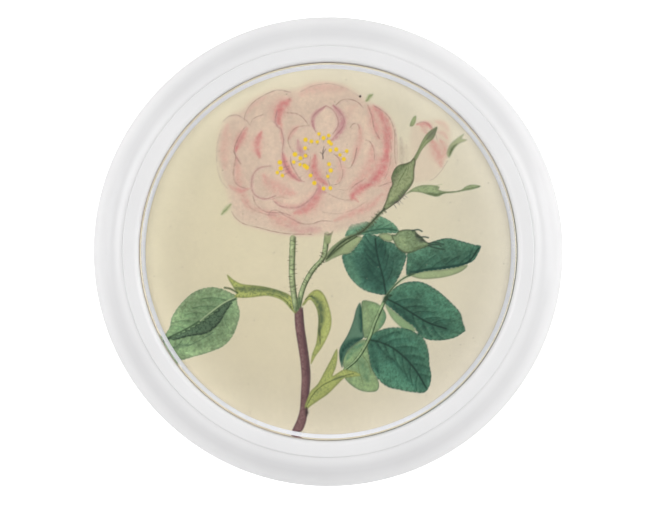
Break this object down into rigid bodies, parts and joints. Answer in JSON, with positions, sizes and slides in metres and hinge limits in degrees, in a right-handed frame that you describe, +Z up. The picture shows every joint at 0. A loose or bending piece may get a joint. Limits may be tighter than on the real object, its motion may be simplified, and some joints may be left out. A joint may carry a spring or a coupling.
{
  "type": "powder jar",
  "caption": "Round milk-white powder jar with a lift-off lid that shows a botanical rose print under clear crystal, with sifter and puff inside.",
  "frame": {"origin": "centre of the foot ring's underside, on the surface that the jar stands on", "axes": "+Z up along the jar's axis, +X to the right and +Y to the top of the print as it is read"},
  "size_m": [0.112, 0.112, 0.06],
  "materials": {
    "opal_white": "glossy milk-white, slightly translucent",
    "clear_crystal": "clear with a polished round edge",
    "clear_rubber": "soft, frosted clear",
    "face_powder": "fine loose powder, matte",
    "cream_plush": "short dense pile",
    "white_foam": "open-cell foam",
    "blush_satin": "satin weave",
    "cream_paper": "printed wove paper, matte",
    "white_card": "matte",
    "seal_rubber": "satin silicone"
  },
  "bodies": {
    "jar": {"jar_shell": "opal_white", "powder_bowl": "opal_white", "foot_ring": "clear_rubber", "powder_fill": "face_powder"},
    "sifter": {"sifter_disc": "opal_white", "sifter_knob": "opal_white"},
    "puff": {"puff_pile": "cream_plush", "puff_core": "white_foam", "puff_top": "blush_satin", "puff_piping": "blush_satin", "puff_strap": "blush_satin"},
    "lid": {"lid_shell": "opal_white", "bezel_ring": "opal_white", "crystal": "clear_crystal", "print_disc": "cream_paper", "backing_card": "white_card", "lid_liner": "opal_white", "seal_ring": "seal_rubber"}
  },
  "joints": [
    {"name": "sifter_lift", "type": "slide", "parent": "jar", "child": "sifter", "axis": [0, 0, 1], "range_m": [0, 0.03]},
    {"name": "puff_lift", "type": "slide", "parent": "sifter", "child": "puff", "axis": [0, 0, 1], "range_m": [0, 0.04]},
    {"name": "lid_lift", "type": "slide", "parent": "puff", "child": "lid", "axis": [0, 0, 1], "range_m": [0, 0.07]}
  ]
}
